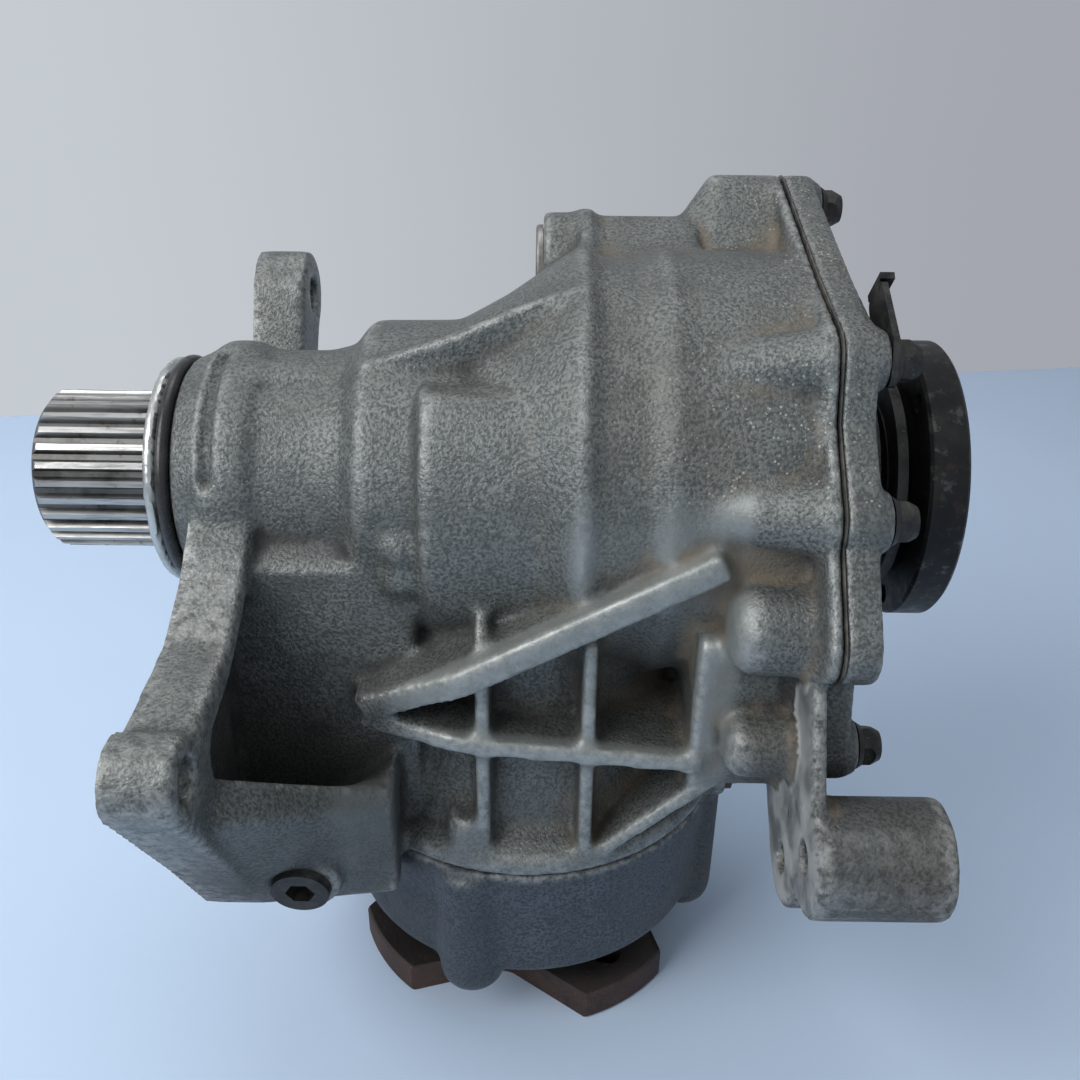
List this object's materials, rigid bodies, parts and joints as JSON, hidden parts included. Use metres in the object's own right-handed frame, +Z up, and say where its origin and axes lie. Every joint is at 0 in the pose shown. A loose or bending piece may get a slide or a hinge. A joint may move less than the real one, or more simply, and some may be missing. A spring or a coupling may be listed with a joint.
{
  "type": "differential",
  "caption": "Bevel differential in a ribbed cast housing with a splined output stub, a round output flange and an armed input flange.",
  "frame": {"origin": "centre of the input flange's lower face", "axes": "+Z up along the pinion, +X along the axle towards the round output flange, -Y towards the front"},
  "size_m": [0.3168, 0.2475, 0.308],
  "materials": {
    "cast_housing": "sand-textured grey-green casting, dusty",
    "cast_lower": "smoother blue-grey casting",
    "gasket_black": "thin dark gasket",
    "bolt_black": "black phosphated steel",
    "machined_steel": "ground steel",
    "plug_steel": "dark steel",
    "rusty_steel": "rusty steel",
    "pressed_steel": "dull pressed steel",
    "rubber_black": "glossy black rubber",
    "black_bracket": "black coated steel",
    "rusty_flange": "brown rust over dark steel",
    "dark_flange": "black mottled, oily",
    "spline_steel": "dark steel with bright crests",
    "cast_iron_case": "as cast, oiled",
    "gear_steel": "oiled gear steel",
    "bronze_washer": "bronze"
  },
  "bodies": {
    "housing": {"main_housing": "cast_housing", "bearing_cover": "cast_housing", "pinion_housing": "cast_lower", "cover_gasket": "gasket_black", "cover_bolts": "bolt_black", "cover_dowels": "machined_steel", "pinion_housing_bolts": "bolt_black", "oil_plug": "plug_steel", "drain_plug": "rusty_steel", "vent_cap": "pressed_steel", "spigot_oring": "rubber_black", "clip_bracket": "black_bracket", "seal_left": "rubber_black", "seal_right": "rubber_black", "seal_pinion": "rubber_black", "shim_left": "machined_steel", "shim_right": "machined_steel", "case_bearing_left_cup": "machined_steel", "case_bearing_right_cup": "machined_steel", "head_bearing_cup": "machined_steel", "tail_bearing_cup": "machined_steel", "stub_bearing_outer": "machined_steel"},
    "carrier": {"differential_case": "cast_iron_case", "ring_gear": "gear_steel", "ring_gear_bolts": "bolt_black", "cross_pin": "machined_steel", "cross_pin_lock": "machined_steel", "case_bearing_left_cone": "machined_steel", "case_bearing_right_cone": "machined_steel", "case_bearing_left_rollers": "machined_steel", "case_bearing_right_rollers": "machined_steel", "side_washer_left": "bronze_washer", "side_washer_right": "bronze_washer", "spider_washer_lower": "bronze_washer", "spider_washer_upper": "bronze_washer"},
    "pinion": {"pinion_shaft": "gear_steel", "crush_spacer": "machined_steel", "input_flange": "rusty_flange", "pinion_nut": "rusty_steel", "pinion_slinger": "rusty_steel", "head_bearing_cone": "machined_steel", "head_bearing_rollers": "machined_steel", "tail_bearing_cone": "machined_steel", "tail_bearing_rollers": "machined_steel"},
    "left_output": {"stub_shaft": "spline_steel", "side_gear_left": "gear_steel", "retaining_ring_left": "machined_steel", "stub_bearing_inner": "machined_steel", "stub_bearing_balls": "machined_steel"},
    "right_output": {"output_flange": "dark_flange", "side_gear_right": "gear_steel", "retaining_ring_right": "machined_steel", "output_slinger": "black_bracket"},
    "spider_upper": {"spider_gear_upper": "gear_steel"},
    "spider_lower": {"spider_gear_lower": "gear_steel"}
  },
  "joints": [
    {"name": "carrier_spin", "type": "hinge", "parent": "housing", "child": "carrier", "pos_m": [0, 0, 0.211], "axis": [1, 0, 0], "continuous": true},
    {"name": "pinion_spin", "type": "hinge", "parent": "housing", "child": "pinion", "pos_m": [0, 0, 0.211], "axis": [0, 0, 1], "continuous": true},
    {"name": "left_output_spin", "type": "hinge", "parent": "carrier", "child": "left_output", "pos_m": [0, 0, 0.211], "axis": [1, 0, 0], "continuous": true},
    {"name": "right_output_spin", "type": "hinge", "parent": "carrier", "child": "right_output", "pos_m": [0, 0, 0.211], "axis": [1, 0, 0], "continuous": true},
    {"name": "spider_upper_spin", "type": "hinge", "parent": "carrier", "child": "spider_upper", "pos_m": [0, 0, 0.211], "axis": [0, 0, 1], "continuous": true},
    {"name": "spider_lower_spin", "type": "hinge", "parent": "carrier", "child": "spider_lower", "pos_m": [0, 0, 0.211], "axis": [0, 0, 1], "continuous": true}
  ],
  "couplings": [
    {"joint": "pinion_spin", "follows": "carrier_spin", "ratio": 2.8462},
    {"joint": "right_output_spin", "follows": "left_output_spin", "ratio": -1},
    {"joint": "spider_upper_spin", "follows": "left_output_spin", "ratio": 1.6},
    {"joint": "spider_lower_spin", "follows": "left_output_spin", "ratio": -1.6}
  ]
}
